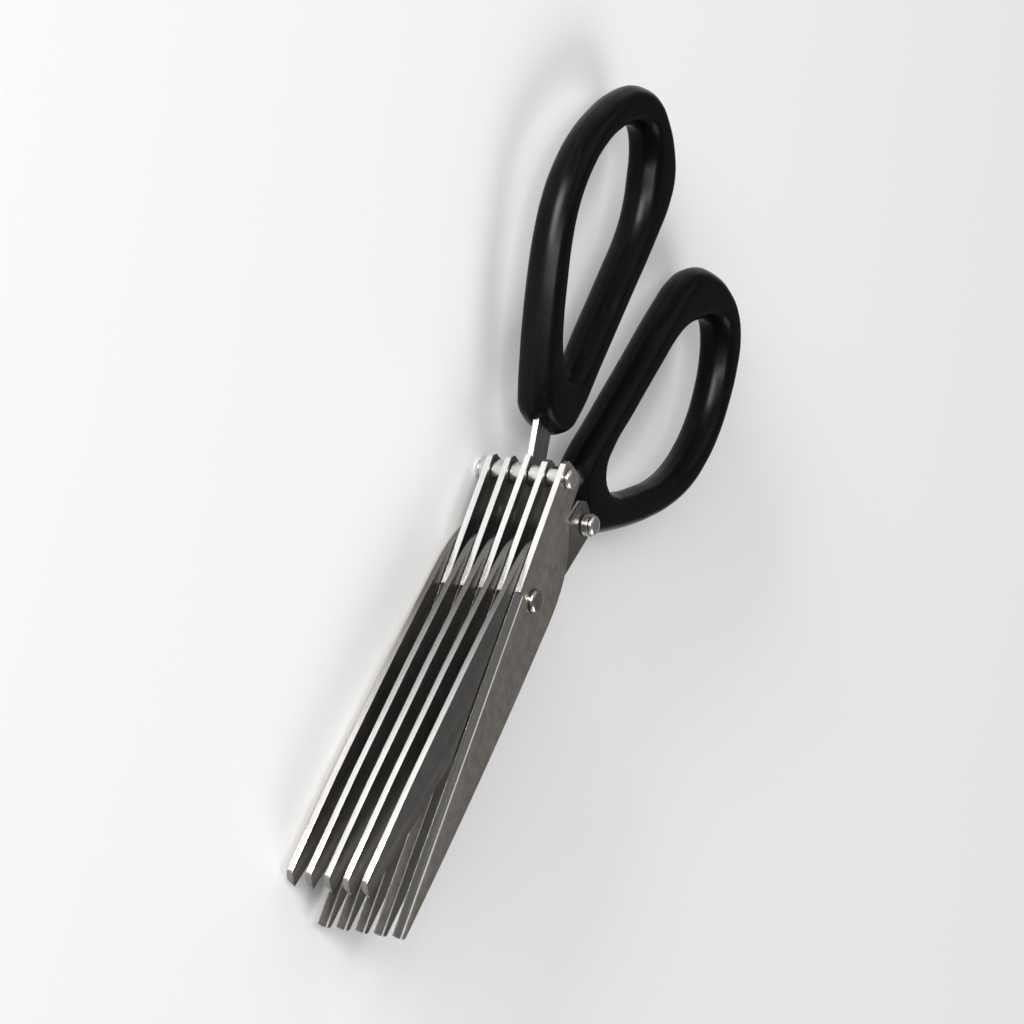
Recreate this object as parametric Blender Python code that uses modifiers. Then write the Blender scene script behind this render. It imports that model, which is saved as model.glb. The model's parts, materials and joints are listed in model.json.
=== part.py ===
"""Multipurpose herb scissors: ten blades in five shearing pairs on one pivot, with two looped handles.

The scissors lie on their side. X runs from the pivot to the tips along the cutting edges of the thumb
half, Y runs from the thumb side to the finger side, and Z runs up the stack of blades along the pivot.
The origin is on the pivot axis, in the plane on which the undersides of the rivets rest.
The two halves mirror each other. Each is drawn in its own plane as (along, out): along runs from the
pivot to the tips, and out runs from the middle line to that half's own handle side.
"""

import math

import bmesh
import bpy
from mathutils import Matrix

MM = 0.001

# Stack of blades
BLADE_PAIRS = 5
PAIR_PITCH = 4.3 * MM
BLADE_THICKNESS = 1.3 * MM
SEAT_CLEARANCE = 0.25 * MM

# Outline of a blade
BLADE_REACH = 80.0 * MM
EDGE_TO_PIVOT = 6.6 * MM
PIVOT_TO_SPINE = 8.9 * MM
# How far the spine bulges beyond a straight line from the pivot to the nose
SPINE_BOW = 0.85 * MM
TIP_WIDTH = 3.4 * MM
NOSE_LENGTH = 1.2 * MM
# The heel curves in from the spine, from a little before the pivot to the narrow strip of the tail
HEEL_START = 4.0 * MM
HEEL_REACH = 21.0 * MM
TAIL_REACH = 30.0 * MM
TAIL_WIDTH = 8.2 * MM
TAIL_CORNER = 1.2 * MM
GRIND_WIDTH = 1.7 * MM
GRIND_START = 1.5 * MM
EDGE_LAND = 0.15 * MM

# Tang of a centre blade
TANG_TURN = math.radians(20.0)
TANG_DEPTH = 10.5 * MM
TANG_WIDTH = 6.2 * MM
TANG_HOLE_RADIUS = 1.3 * MM
TANG_HOLE_TO_END = 3.6 * MM
TANG_CLEARANCE = 0.3 * MM

# Pivot
PIVOT_SHAFT_RADIUS = 1.6 * MM
PIVOT_HEAD_RADIUS = 2.5 * MM
PIVOT_WASHER_RADIUS = 3.4 * MM
HEAD_HEIGHT = 1.0 * MM
HEAD_RIM = 0.4 * MM
NUT_FLOOR = 0.5 * MM
NUT_BORE_CLEARANCE = 0.3 * MM

# Rear rivets, one through the tails of each half
RIVET_TO_TAIL_END = 3.0 * MM
RIVET_FROM_EDGE = 3.2 * MM
RIVET_SHAFT_RADIUS = 1.25 * MM
RIVET_HEAD_RADIUS = 2.1 * MM
SPACER_RADIUS = 2.4 * MM

# Handles
# How much of each tang shows between the tail and the handle
THUMB_TANG_SHOWN = 6.0 * MM
FINGER_TANG_SHOWN = 3.5 * MM
HANDLE_LENGTH = 79.0 * MM
HANDLE_WIDTH = 40.3 * MM
HANDLE_THICKNESS = 8.2 * MM
HANDLE_ROUNDING = 2.9 * MM
FRONT_BOSS = 13.0 * MM
REAR_STRAND = 8.4 * MM
OUTER_STRAND = 6.8 * MM
INNER_STRAND = 7.4 * MM
HANDLE_CLOSED_GAP = 1.2 * MM
# The line on which the closed handles meet is turned this far from the middle line, about the pivot
MEETING_LINE_TURN = math.radians(2.2)
# Shares of the handle's length from its front, and of its width from the line where the handles meet
HANDLE_OUTLINE_SHARES = (
    (0.000, 0.270), (0.006, 0.355), (0.038, 0.427), (0.105, 0.541), (0.194, 0.675), (0.285, 0.794),
    (0.386, 0.903), (0.494, 0.978), (0.595, 1.000), (0.703, 0.978), (0.804, 0.911), (0.893, 0.819),
    (0.965, 0.695), (1.000, 0.531), (0.992, 0.357), (0.957, 0.194), (0.904, 0.077), (0.828, 0.017),
    (0.721, 0.000), (0.506, 0.000), (0.278, 0.000), (0.114, 0.003), (0.054, 0.035), (0.017, 0.129),
)
# Shares of the room between the strands, from its front and from the inner strand
OPENING_SHARES = (
    (0.000, 0.153), (0.038, 0.345), (0.113, 0.506), (0.226, 0.686), (0.356, 0.866), (0.486, 0.973),
    (0.608, 1.000), (0.729, 0.966), (0.842, 0.866), (0.938, 0.713), (0.993, 0.544), (1.000, 0.444),
    (0.965, 0.307), (0.885, 0.176), (0.799, 0.069), (0.703, 0.012), (0.538, 0.000), (0.278, 0.000),
    (0.087, 0.004), (0.023, 0.046),
)

# Opening of the blades
TIP_OVERLAP = 1.3 * MM
REST_OPENING = math.radians(10.0)

# Facets
NOSE_STEPS = 3
SPINE_STEPS = 10
HEEL_STEPS = 9
PIVOT_FACETS = 24
RIVET_FACETS = 16
DOME_STEPS = 4
OUTLINE_RESOLUTION = 4
ROUNDING_RESOLUTION = 3
CUT_OVERRUN = 1.0 * MM
MERGE_DISTANCE = 0.00001

# Worked out from the sizes above
CLOSED_ANGLE = math.asin((2 * EDGE_TO_PIVOT - TIP_OVERLAP) / BLADE_REACH)
REST_ANGLE = CLOSED_ANGLE + REST_OPENING
LEVEL_OF_FIRST_BLADE = HEAD_HEIGHT + SEAT_CLEARANCE
MATE_RISE = BLADE_THICKNESS + SEAT_CLEARANCE
STACK_TOP = LEVEL_OF_FIRST_BLADE + (BLADE_PAIRS - 1) * PAIR_PITCH + MATE_RISE + BLADE_THICKNESS
HEAD_LEVEL = STACK_TOP + SEAT_CLEARANCE
CENTRE_PAIR = BLADE_PAIRS // 2
STACK_MIDDLE = (LEVEL_OF_FIRST_BLADE + STACK_TOP) / 2
RIVET_REACH = TAIL_REACH - RIVET_TO_TAIL_END
THUMB_HANDLE_FRONT = TAIL_REACH + THUMB_TANG_SHOWN
FINGER_HANDLE_FRONT = TAIL_REACH + FINGER_TANG_SHOWN

FINISHES = {
    "stainless_blade": ((0.60, 0.60, 0.61, 1.0), 1.0, 0.30),
    "polished_steel": ((0.75, 0.75, 0.76, 1.0), 1.0, 0.18),
    "black_plastic": ((0.012, 0.013, 0.016, 1.0), 0.0, 0.28),
}


class Half:
    """One half of the scissors: its side of the middle line, the level of its blades and its handle's front."""

    def __init__(self, name, side, rise, turn, handle_front):
        self.name = name
        self.side = side
        self.rise = rise
        self.turn = turn
        self.handle_front = handle_front

    def place(self, along, out):
        return (along, self.side * out)

    def blade_level(self, pair):
        return LEVEL_OF_FIRST_BLADE + pair * PAIR_PITCH + self.rise


THUMB = Half("thumb", -1, MATE_RISE, 0.0, THUMB_HANDLE_FRONT)
FINGER = Half("finger", 1, 0.0, -REST_ANGLE, FINGER_HANDLE_FRONT)


def remove_everything():
    for scene_object in list(bpy.data.objects):
        bpy.data.objects.remove(scene_object, do_unlink=True)


def new_collection(name):
    collection = bpy.data.collections.new(name)
    bpy.context.scene.collection.children.link(collection)
    return collection


def make_finish(name):
    colour, metallic, roughness = FINISHES[name]
    material = bpy.data.materials.new(name)
    material.use_nodes = True
    shader = material.node_tree.nodes["Principled BSDF"]
    shader.inputs["Base Color"].default_value = colour
    shader.inputs["Metallic"].default_value = metallic
    shader.inputs["Roughness"].default_value = roughness
    material.diffuse_color = colour
    return material


def make_axis(name, half):
    """An empty on the pivot axis that carries the pieces of one half and turns with it."""
    axis = bpy.data.objects.new(name, None)
    axis.rotation_euler = (0.0, 0.0, half.turn)
    parts.objects.link(axis)
    return axis


def add_part(name, mesh, finish, parent, location=(0.0, 0.0, 0.0)):
    part = bpy.data.objects.new(name, mesh)
    part.data.materials.clear()
    part.data.materials.append(finishes[finish])
    part.location = location
    part.parent = parent
    parts.objects.link(part)
    return part


def add_cutter(name, mesh, location=(0.0, 0.0, 0.0)):
    cutter = bpy.data.objects.new(name, mesh)
    cutter.location = location
    cutter.display_type = 'WIRE'
    cutter.hide_render = True
    cutters.objects.link(cutter)
    return cutter


def close_mesh(mesh):
    """Weld the caps of a shape that comes from a curve, and point its faces out."""
    shape = bmesh.new()
    shape.from_mesh(mesh)
    bmesh.ops.remove_doubles(shape, verts=shape.verts, dist=MERGE_DISTANCE)
    bmesh.ops.recalc_face_normals(shape, faces=shape.faces)
    shape.to_mesh(mesh)
    shape.free()


def mesh_of(scene_object, name):
    """The finished mesh of an object, with its modifiers, in the object's own frame."""
    bpy.context.view_layer.update()
    evaluated = scene_object.evaluated_get(bpy.context.evaluated_depsgraph_get())
    mesh = bpy.data.meshes.new_from_object(evaluated)
    mesh.name = name
    return mesh


def mesh_from_outline(name, curve, bottom):
    """Turn a flat outline curve into a closed plate that stands on the level given."""
    guide = bpy.data.objects.new(name, curve)
    cutters.objects.link(guide)
    mesh = mesh_of(guide, name)
    bpy.data.objects.remove(guide)
    close_mesh(mesh)
    mesh.transform(Matrix.Translation((0.0, 0.0, bottom)))
    return mesh


def plate(name, loops, thickness, bottom=0.0):
    """A flat plate with straight sides. The first loop is its outline and the others are its holes."""
    curve = bpy.data.curves.new(name, 'CURVE')
    curve.dimensions = '2D'
    curve.fill_mode = 'BOTH'
    curve.extrude = thickness / 2
    for loop in loops:
        spline = curve.splines.new('POLY')
        spline.points.add(len(loop) - 1)
        for point, place in zip(spline.points, loop):
            point.co = (place[0], place[1], 0.0, 1.0)
        spline.use_cyclic_u = True
    return mesh_from_outline(name, curve, bottom + thickness / 2)


def moulding(name, loops, thickness, rounding):
    """A moulded plate about its middle plane, with smooth outlines and fully rounded edges."""
    curve = bpy.data.curves.new(name, 'CURVE')
    curve.dimensions = '2D'
    curve.fill_mode = 'BOTH'
    curve.resolution_u = OUTLINE_RESOLUTION
    curve.extrude = thickness / 2 - rounding
    curve.bevel_depth = rounding
    curve.bevel_resolution = ROUNDING_RESOLUTION
    curve.offset = -rounding
    for loop in loops:
        spline = curve.splines.new('BEZIER')
        spline.bezier_points.add(len(loop) - 1)
        for point, place in zip(spline.bezier_points, loop):
            point.co = (place[0], place[1], 0.0)
            point.handle_left_type = 'AUTO'
            point.handle_right_type = 'AUTO'
        spline.use_cyclic_u = True
    return mesh_from_outline(name, curve, 0.0)


def circle(centre, radius, facets):
    places = []
    for step in range(facets):
        angle = 2 * math.pi * step / facets
        places.append((centre[0] + radius * math.cos(angle), centre[1] + radius * math.sin(angle)))
    return places


def turned(name, profile, facets, finish, parent, location=(0.0, 0.0, 0.0)):
    """A piece turned about its own Z axis from a profile that runs down its outer side."""
    mesh = bpy.data.meshes.new(name)
    edges = [(index, index + 1) for index in range(len(profile) - 1)]
    if profile[0][0] > 0:
        edges.append((len(profile) - 1, 0))
    mesh.from_pydata([(radius, 0.0, level) for radius, level in profile], edges, [])
    part = add_part(name, mesh, finish, parent, location)
    screw = part.modifiers.new("Turning", 'SCREW')
    screw.axis = 'Z'
    screw.steps = facets
    screw.render_steps = facets
    screw.use_merge_vertices = True
    screw.merge_threshold = MERGE_DISTANCE
    screw.use_smooth_shade = False
    return part


def cut(part, cutter, name):
    boolean = part.modifiers.new(name, 'BOOLEAN')
    boolean.operation = 'DIFFERENCE'
    boolean.solver = 'EXACT'
    boolean.object = cutter


def dome(radius, rim_level, crown_level):
    """Profile points of a low dome, from its crown to its rim."""
    points = []
    for step in range(DOME_STEPS + 1):
        angle = math.pi / 2 * step / DOME_STEPS
        points.append((radius * math.sin(angle), rim_level + (crown_level - rim_level) * math.cos(angle)))
    return points


def spine_out(along):
    """Where the spine of a blade lies, at a place along it: a long shallow curve back from the nose."""
    share = along / (BLADE_REACH - NOSE_LENGTH)
    straight = -PIVOT_TO_SPINE + share * (PIVOT_TO_SPINE + EDGE_TO_PIVOT - TIP_WIDTH)
    return straight - 4 * SPINE_BOW * share * (1 - share)


def tang_line(along):
    """The middle of the tang, which leaves the tail turned towards the handle."""
    tail_middle = EDGE_TO_PIVOT - TAIL_WIDTH / 2
    return tail_middle + (-along - TAIL_REACH) * math.tan(TANG_TURN)


def nose(half):
    """The tip of a blade: its corner on the edge, then the round up to the spine."""
    places = [half.place(BLADE_REACH, EDGE_TO_PIVOT)]
    for step in range(1, NOSE_STEPS + 1):
        angle = math.pi / 2 * (1 - step / NOSE_STEPS)
        along = BLADE_REACH - NOSE_LENGTH * (1 - math.sin(angle))
        places.append(half.place(along, EDGE_TO_PIVOT - TIP_WIDTH * math.cos(angle)))
    return places


def spine(half):
    """The back of a blade from behind its nose to the start of its heel."""
    front = BLADE_REACH - NOSE_LENGTH
    places = []
    for step in range(1, SPINE_STEPS):
        along = front + (HEEL_START - front) * step / SPINE_STEPS
        places.append(half.place(along, spine_out(along)))
    return places


def heel(half):
    """The curve past the pivot, on which a blade narrows to the strip of its tail."""
    inner = EDGE_TO_PIVOT - TAIL_WIDTH
    places = []
    for step in range(HEEL_STEPS + 1):
        share = step / HEEL_STEPS
        along = HEEL_START - share * (HEEL_START + HEEL_REACH)
        places.append(half.place(along, inner + (spine_out(along) - inner) * (1 - share ** 3)))
    return places


def blade_front(half):
    """The part of a blade's outline from the tail's outer corner along edge and spine to the tail's strip."""
    return nose(half) + spine(half) + heel(half)


def short_tail(half):
    """The rounded end of a blade that stops behind its rivet."""
    outer = EDGE_TO_PIVOT
    inner = EDGE_TO_PIVOT - TAIL_WIDTH
    return [
        half.place(-TAIL_REACH + TAIL_CORNER, inner),
        half.place(-TAIL_REACH, inner + TAIL_CORNER),
        half.place(-TAIL_REACH, outer - TAIL_CORNER),
        half.place(-TAIL_REACH + TAIL_CORNER, outer),
    ]


def tang_outline(half, clearance=0.0):
    """The four corners of the tang behind the tail, or of the room for it in the handle."""
    end = -half.handle_front - TANG_DEPTH - clearance
    half_width = (TANG_WIDTH / 2 + clearance) / math.cos(TANG_TURN)
    return [
        half.place(-TAIL_REACH, tang_line(-TAIL_REACH) - half_width),
        half.place(end, tang_line(end) - half_width),
        half.place(end, tang_line(end) + half_width),
        half.place(-TAIL_REACH, tang_line(-TAIL_REACH) + half_width),
    ]


def tang_tail(half):
    """The end of the centre blade: square shoulders with the tang between them."""
    outer = EDGE_TO_PIVOT
    inner = EDGE_TO_PIVOT - TAIL_WIDTH
    return [half.place(-TAIL_REACH, inner)] + tang_outline(half) + [half.place(-TAIL_REACH, outer)]


def tang_hole(half, radius):
    along = -half.handle_front - TANG_DEPTH + TANG_HOLE_TO_END
    return circle(half.place(along, tang_line(along)), radius, RIVET_FACETS)


def rivet_place(half):
    return half.place(-RIVET_REACH, EDGE_TO_PIVOT - RIVET_FROM_EDGE)


def make_grind_cutter(half):
    """A long block whose face is the ground bevel behind a cutting edge."""
    angle = math.atan2(BLADE_THICKNESS - EDGE_LAND, GRIND_WIDTH)
    length = BLADE_REACH - GRIND_START + CUT_OVERRUN
    width = 2 * GRIND_WIDTH + CUT_OVERRUN
    shape = bmesh.new()
    bmesh.ops.create_cube(shape, size=1.0)
    bmesh.ops.scale(shape, verts=shape.verts, vec=(length, width, BLADE_THICKNESS))
    bmesh.ops.translate(shape, verts=shape.verts, vec=(GRIND_START + length / 2, width / 2, BLADE_THICKNESS / 2))
    # Turned down about the shoulder line, towards the edge
    bmesh.ops.rotate(shape, verts=shape.verts, cent=(0.0, 0.0, 0.0), matrix=Matrix.Rotation(-angle, 3, 'X'))
    bmesh.ops.translate(shape, verts=shape.verts, vec=(0.0, EDGE_TO_PIVOT - GRIND_WIDTH, BLADE_THICKNESS))
    if half is FINGER:
        # The finger half is ground on its underside, away from its mates
        bmesh.ops.scale(shape, verts=shape.verts, vec=(1.0, 1.0, -1.0))
        bmesh.ops.translate(shape, verts=shape.verts, vec=(0.0, 0.0, BLADE_THICKNESS))
    else:
        bmesh.ops.scale(shape, verts=shape.verts, vec=(1.0, -1.0, 1.0))
    bmesh.ops.recalc_face_normals(shape, faces=shape.faces)
    mesh = bpy.data.meshes.new(half.name + "_grind")
    shape.to_mesh(mesh)
    shape.free()
    return add_cutter(half.name + "_grind", mesh)


def make_blade_mesh(half, name, loops, grind):
    """A blade stamped from sheet, holes and all, with its cutting edge ground."""
    stamping = bpy.data.objects.new(name, plate(name, loops, BLADE_THICKNESS))
    cutters.objects.link(stamping)
    cut(stamping, grind, "Ground edge")
    mesh = mesh_of(stamping, name)
    bpy.data.objects.remove(stamping)
    return mesh


def make_blades(half, axis):
    """Four short blades that share one mesh, and between them the centre blade with its tang."""
    grind = make_grind_cutter(half)
    front = blade_front(half)
    holes = [
        circle((0.0, 0.0), PIVOT_SHAFT_RADIUS + SEAT_CLEARANCE, PIVOT_FACETS),
        circle(rivet_place(half), RIVET_SHAFT_RADIUS + SEAT_CLEARANCE, RIVET_FACETS),
    ]
    short = make_blade_mesh(half, half.name + "_short_blade", [front + short_tail(half)] + holes, grind)
    loops = [front + tang_tail(half)] + holes + [tang_hole(half, TANG_HOLE_RADIUS)]
    long = make_blade_mesh(half, half.name + "_centre_blade", loops, grind)
    for pair in range(BLADE_PAIRS):
        if pair == CENTRE_PAIR:
            name = half.name + "_centre_blade_with_tang"
            mesh = long
        else:
            name = half.name + "_blade_" + str(pair + 1)
            mesh = short
        add_part(name, mesh, "stainless_blade", axis, (0.0, 0.0, half.blade_level(pair)))


def handle_frame(half, back, out):
    """A place in the handle, measured back from the pivot along the line where the closed handles meet."""
    turn = CLOSED_ANGLE / 2 - half.side * MEETING_LINE_TURN
    along = -back * math.cos(turn) - out * math.sin(turn)
    across = -back * math.sin(turn) + out * math.cos(turn)
    return half.place(along, across)


def handle_outline(half):
    places = []
    for back_share, out_share in HANDLE_OUTLINE_SHARES:
        back = half.handle_front + back_share * HANDLE_LENGTH
        places.append(handle_frame(half, back, HANDLE_CLOSED_GAP / 2 + out_share * HANDLE_WIDTH))
    return places


def opening_outline(half):
    length = HANDLE_LENGTH - FRONT_BOSS - REAR_STRAND
    width = HANDLE_WIDTH - OUTER_STRAND - INNER_STRAND
    places = []
    for back_share, out_share in OPENING_SHARES:
        back = half.handle_front + FRONT_BOSS + back_share * length
        places.append(handle_frame(half, back, HANDLE_CLOSED_GAP / 2 + INNER_STRAND + out_share * width))
    return places


def make_handle(half, axis):
    """The looped handle, moulded round the tang of the centre blade."""
    mesh = moulding(
        half.name + "_handle", [handle_outline(half), opening_outline(half)], HANDLE_THICKNESS, HANDLE_ROUNDING)
    mesh.shade_smooth()
    handle = add_part(half.name + "_handle", mesh, "black_plastic", axis, (0.0, 0.0, STACK_MIDDLE))
    room = plate(
        half.name + "_tang_room",
        [tang_outline(half, TANG_CLEARANCE), tang_hole(half, TANG_HOLE_RADIUS - TANG_CLEARANCE)],
        BLADE_THICKNESS + 2 * TANG_CLEARANCE)
    level = half.blade_level(CENTRE_PAIR) - TANG_CLEARANCE
    cutter = add_cutter(half.name + "_tang_room", room, (0.0, 0.0, level))
    cutter.parent = axis
    cut(handle, cutter, "Room for the tang")


def ring(name, inner_radius, outer_radius, bottom, top, place, parent):
    profile = [(outer_radius, top), (outer_radius, bottom), (inner_radius, bottom), (inner_radius, top)]
    turned(name, profile, RIVET_FACETS, "polished_steel", parent, (place[0], place[1], 0.0))


def make_pivot(axis):
    """The bolt with its domed head, its cap nut, and the washers that hold the pairs apart."""
    nut_top = LEVEL_OF_FIRST_BLADE - SEAT_CLEARANCE
    bolt_foot = NUT_FLOOR + NUT_BORE_CLEARANCE
    bolt_profile = dome(PIVOT_HEAD_RADIUS, HEAD_LEVEL + HEAD_RIM, HEAD_LEVEL + HEAD_HEIGHT)
    bolt_profile += [
        (PIVOT_HEAD_RADIUS, HEAD_LEVEL),
        (PIVOT_SHAFT_RADIUS, HEAD_LEVEL),
        (PIVOT_SHAFT_RADIUS, bolt_foot),
        (0.0, bolt_foot),
    ]
    turned("pivot_bolt", bolt_profile, PIVOT_FACETS, "polished_steel", axis)
    bore = PIVOT_SHAFT_RADIUS + NUT_BORE_CLEARANCE
    nut_profile = [
        (0.0, NUT_FLOOR),
        (bore, NUT_FLOOR),
        (bore, nut_top),
        (PIVOT_HEAD_RADIUS, nut_top),
        (PIVOT_HEAD_RADIUS, nut_top - HEAD_RIM),
        (PIVOT_HEAD_RADIUS - HEAD_RIM, 0.0),
        (0.0, 0.0),
    ]
    turned("pivot_cap_nut", nut_profile, PIVOT_FACETS, "polished_steel", axis)
    for pair in range(BLADE_PAIRS - 1):
        bottom = THUMB.blade_level(pair) + BLADE_THICKNESS + SEAT_CLEARANCE
        top = FINGER.blade_level(pair + 1) - SEAT_CLEARANCE
        name = "pivot_washer_" + str(pair + 1)
        ring(name, PIVOT_SHAFT_RADIUS + SEAT_CLEARANCE, PIVOT_WASHER_RADIUS, bottom, top, (0.0, 0.0), axis)


def make_rear_rivet(half, axis):
    """The rivet through the tails of one half, with a spacer in each gap and a washer at its bare end."""
    place = rivet_place(half)
    bore = RIVET_SHAFT_RADIUS + SEAT_CLEARANCE
    profile = dome(RIVET_HEAD_RADIUS, HEAD_LEVEL + HEAD_RIM, HEAD_LEVEL + HEAD_HEIGHT)
    profile += [
        (RIVET_HEAD_RADIUS, HEAD_LEVEL),
        (RIVET_SHAFT_RADIUS, HEAD_LEVEL),
        (RIVET_SHAFT_RADIUS, HEAD_HEIGHT),
        (RIVET_HEAD_RADIUS, HEAD_HEIGHT),
        (RIVET_HEAD_RADIUS, HEAD_RIM),
        (RIVET_HEAD_RADIUS - HEAD_RIM, 0.0),
        (0.0, 0.0),
    ]
    turned(half.name + "_rear_rivet", profile, RIVET_FACETS, "polished_steel", axis, (place[0], place[1], 0.0))
    for pair in range(BLADE_PAIRS - 1):
        bottom = half.blade_level(pair) + BLADE_THICKNESS + SEAT_CLEARANCE
        top = half.blade_level(pair + 1) - SEAT_CLEARANCE
        ring(half.name + "_rear_spacer_" + str(pair + 1), bore, SPACER_RADIUS, bottom, top, place, axis)
    if half is THUMB:
        bottom = HEAD_HEIGHT + SEAT_CLEARANCE
        top = half.blade_level(0) - SEAT_CLEARANCE
    else:
        bottom = half.blade_level(BLADE_PAIRS - 1) + BLADE_THICKNESS + SEAT_CLEARANCE
        top = HEAD_LEVEL - SEAT_CLEARANCE
    ring(half.name + "_rear_washer", bore, SPACER_RADIUS, bottom, top, place, axis)


remove_everything()
parts = new_collection("herb_scissors")
cutters = new_collection("cutters")
finishes = {finish: make_finish(finish) for finish in FINISHES}
thumb_axis = make_axis("thumb_half", THUMB)
finger_axis = make_axis("finger_half", FINGER)

for half, axis in ((THUMB, thumb_axis), (FINGER, finger_axis)):
    make_blades(half, axis)
    make_handle(half, axis)
    make_rear_rivet(half, axis)
make_pivot(thumb_axis)
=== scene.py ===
import json
import math

import bpy
from mathutils import Matrix, Quaternion, Vector

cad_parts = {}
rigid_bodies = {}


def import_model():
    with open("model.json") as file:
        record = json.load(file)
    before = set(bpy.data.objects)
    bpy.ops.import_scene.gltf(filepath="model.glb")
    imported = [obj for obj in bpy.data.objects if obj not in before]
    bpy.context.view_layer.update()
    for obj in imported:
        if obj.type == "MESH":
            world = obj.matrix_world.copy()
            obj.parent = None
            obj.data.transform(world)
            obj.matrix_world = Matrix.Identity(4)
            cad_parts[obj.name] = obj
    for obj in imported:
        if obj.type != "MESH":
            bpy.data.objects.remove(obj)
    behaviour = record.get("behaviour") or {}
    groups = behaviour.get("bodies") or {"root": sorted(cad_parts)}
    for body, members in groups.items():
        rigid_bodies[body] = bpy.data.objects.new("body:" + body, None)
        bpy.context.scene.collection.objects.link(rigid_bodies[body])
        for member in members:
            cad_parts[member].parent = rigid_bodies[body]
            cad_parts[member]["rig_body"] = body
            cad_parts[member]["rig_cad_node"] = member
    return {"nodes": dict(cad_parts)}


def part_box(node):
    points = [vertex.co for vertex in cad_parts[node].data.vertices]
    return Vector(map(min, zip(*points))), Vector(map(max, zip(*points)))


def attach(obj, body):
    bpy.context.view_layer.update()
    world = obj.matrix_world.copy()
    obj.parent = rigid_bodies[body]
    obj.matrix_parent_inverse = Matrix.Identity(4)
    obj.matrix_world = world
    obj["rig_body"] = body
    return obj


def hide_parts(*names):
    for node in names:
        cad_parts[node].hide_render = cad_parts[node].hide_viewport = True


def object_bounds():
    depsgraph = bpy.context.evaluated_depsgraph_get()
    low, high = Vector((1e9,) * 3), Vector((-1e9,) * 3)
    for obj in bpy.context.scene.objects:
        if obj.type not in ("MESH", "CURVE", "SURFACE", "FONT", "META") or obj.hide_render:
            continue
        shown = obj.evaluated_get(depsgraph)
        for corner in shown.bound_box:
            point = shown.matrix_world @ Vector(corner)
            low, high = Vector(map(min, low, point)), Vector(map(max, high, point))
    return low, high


bl_info = {
    "name": "Herb Scissors",
    "version": (1, 0, 0),
    "blender": (4, 5, 0),
    "location": "View3D > Sidebar > Herb Scissors",
    "description": "Ten-bladed herb scissors with looped black handles",
    "category": "Object",
}

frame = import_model()
CAD_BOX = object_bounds()

MM = 0.001

# The finger half lies turned about the pivot, which is the Z axis
REST_OPENING = math.radians(10.0)
CLOSED_HALF_ANGLE = math.radians(4.277)
FINGER_TURN = -(REST_OPENING + 2 * CLOSED_HALF_ANGLE)
BLADE_PAIRS = 5
CENTRE_PAIR = 3

# What lies this near a line or a level is on it
NEAR = 0.02 * MM
# Vertices this near each other are joined
MERGE_DISTANCE = 0.001 * MM
# Faces that turn less than this are one flat face
FLAT_TURN = math.radians(1.0)
# Neighbouring faces that turn less than this are shaded as one smooth surface
BLADE_SMOOTHING = math.radians(30.0)
HANDLE_SMOOTHING = math.radians(32.0)
ROUND_SMOOTHING = math.radians(35.0)
# Edges that turn more than this were stamped or turned sharp, and are softened
SHARP_TURN = math.radians(40.0)
SOFTENING_SEGMENTS = 2

# Blades, measured along the cutting edge and out from the middle line
BLADE_THICKNESS = 1.3 * MM
CUTTING_EDGE_OUT = 6.6 * MM
GROUND_FROM = 1.5 * MM
GROUND_WIDTH = 1.7 * MM
SHOULDER_OUT = CUTTING_EDGE_OUT - GROUND_WIDTH
TAIL_REACH = 30.0 * MM
TAIL_WIDTH = 8.2 * MM
# In square metres: the ground bevel's faces are larger than this, and its softened edges are smaller
LEAST_GROUND_AREA = 1e-5
# How far up or down a face looks, as a share of straight up
FLAT_FACE = 0.99
LEANING_FACE = 0.97
GROUND_FACE = 0.5
SHOULDER_FACES = (0.88, 0.999)
# How far along the blade a face on the tip's end looks; such faces get the darker inner steel as painted
# shade
SHADED_TIP_END_FACE = 0.4

# Places in a blade's list of steels; the inner flat's steel is a darker copy that paints the shade inside the
# stack
SHADED_INNER_FLAT, BEVEL, SIDE, SHOULDER, OUTER_FLAT = range(5)

# Fasteners
SHAFT_CLEARANCE = 0.25 * MM
PIVOT_SHAFT_RADIUS = 1.6 * MM
RIVET_SHAFT_RADIUS = 1.25 * MM
HEAD_HEIGHT = 1.0 * MM
HEAD_RIM = 0.4 * MM
NUT_FLOOR = 0.5 * MM
NUT_BORE_CLEARANCE = 0.3 * MM
DOME_STEPS = 8
CROWN_SHARE = 0.12

# Handles, measured back from the pivot and out from the line where the closed handles meet
HANDLE_LENGTH = 79.0 * MM
HANDLE_WIDTH = 40.3 * MM
HANDLE_ROUNDING = 2.9 * MM
WALL_LEAN = math.radians(16.0)
THUMB_HANDLE_GAP = 6.0 * MM
FINGER_HANDLE_GAP = 3.5 * MM
FRONT_BOSS = 13.0 * MM
REAR_STRAND = 8.4 * MM
OUTER_STRAND = 6.8 * MM
INNER_STRAND = 7.4 * MM
HALF_CLOSED_GAP = 0.6 * MM
MEETING_LINE_TURN = math.radians(2.2)
OUTLINE_SHARES = (
    (0.000, 0.270), (0.006, 0.355), (0.038, 0.427), (0.105, 0.541), (0.194, 0.675), (0.285, 0.794),
    (0.386, 0.903), (0.494, 0.978), (0.595, 1.000), (0.703, 0.978), (0.804, 0.911), (0.893, 0.819),
    (0.965, 0.695), (1.000, 0.531), (0.992, 0.357), (0.957, 0.194), (0.904, 0.077), (0.828, 0.017),
    (0.721, 0.000), (0.506, 0.000), (0.278, 0.000), (0.114, 0.003), (0.054, 0.035), (0.017, 0.129),
)
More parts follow.
